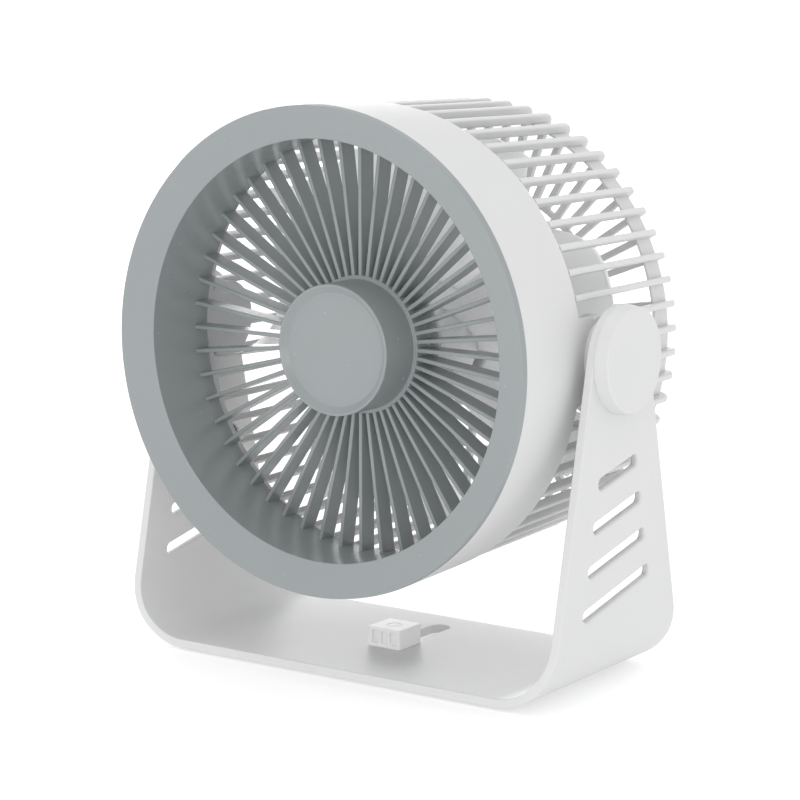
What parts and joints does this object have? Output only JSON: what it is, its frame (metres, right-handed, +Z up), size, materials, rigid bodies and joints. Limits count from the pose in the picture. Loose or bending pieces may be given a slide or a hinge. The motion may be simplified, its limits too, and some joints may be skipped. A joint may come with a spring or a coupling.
{
  "type": "desk fan",
  "caption": "Round desk fan whose caged head tilts in a U-shaped slotted stand, with a deep ring bezel, a radial fin grille and a driven axial impeller.",
  "frame": {"origin": "On the table, below the centre of the whole fan's box. The tilt axis is 137 mm above the table and 3.45 mm ahead of the origin.", "axes": "+Z up, +X along the tilt axis to the right of a person facing the outlet from behind the fan, -Y the way the air leaves"},
  "size_m": [0.2276, 0.1298, 0.237],
  "materials": {
    "grey_front": "satin moulded, fine grain",
    "white_shell": "satin moulded, fine grain",
    "white_stand": "satin moulded, fine grain",
    "white_clip": "semi-gloss moulded",
    "white_blade": "slightly translucent, semi-gloss",
    "button_grey": "satin moulded",
    "foot_rubber": "matt silicone",
    "bush_plastic": "acetal, smooth",
    "fibre_washer": "pressed fibre",
    "steel": "zinc-plated",
    "rotor_steel": "drawn steel",
    "brass": "knurled",
    "motor_alloy": "die-cast",
    "lamination": "stacked sheets",
    "copper_wire": "enamelled wire",
    "magnet": "bonded ferrite",
    "board_green": "solder mask",
    "chip_black": "moulded epoxy",
    "lead_red": "silicone insulation",
    "clear_lens": "clear moulded"
  },
  "bodies": {
    "stand": {"stand_bracket": "white_stand", "foot_pads": "foot_rubber", "pivot_bushes": "bush_plastic", "friction_washers": "fibre_washer", "left_pivot_cap": "white_stand", "right_pivot_cap": "white_stand"},
    "head": {"front_bezel": "grey_front", "front_grille": "grey_front", "hub_cap": "grey_front", "drum_shell": "white_shell", "rear_cage": "white_shell", "shell_screws": "steel", "pivot_inserts": "brass", "pivot_screws": "steel", "wave_washers": "steel", "motor_base": "motor_alloy", "motor_screws": "steel", "front_bearing": "steel", "rear_bearing": "steel", "stator_core": "lamination", "stator_coils": "copper_wire", "control_board": "board_green", "board_chips": "chip_black", "tact_switch": "chip_black", "motor_leads": "lead_red", "usb_inlet": "steel", "status_lens": "clear_lens", "rear_hub_cover": "white_shell", "cover_screws": "steel"},
    "impeller": {"impeller": "white_blade", "rotor_cup": "rotor_steel", "magnet_ring": "magnet", "motor_shaft": "steel", "impeller_nut": "bush_plastic", "shaft_clip": "steel"},
    "button": {"power_button": "button_grey"},
    "hook": {"hook_block": "white_clip", "hook_screw": "steel", "hook_retainer": "steel"}
  },
  "joints": [
    {"name": "head_tilt", "type": "hinge", "parent": "stand", "child": "head", "pos_m": [0, -0.00345, 0.137], "axis": [1, 0, 0], "range_deg": [-90, 90]},
    {"name": "impeller_spin", "type": "hinge", "parent": "head", "child": "impeller", "pos_m": [0, -0.00345, 0.137], "axis": [0, 1, 0], "continuous": true},
    {"name": "button_press", "type": "slide", "parent": "head", "child": "button", "axis": [0, -1, 0], "range_m": [0, 0.0006], "stiffness_N_per_m": 2000, "springref_m": -0.0005},
    {"name": "hook_slide", "type": "slide", "parent": "stand", "child": "hook", "axis": [0, 1, 0], "range_m": [0, 0.028]}
  ]
}
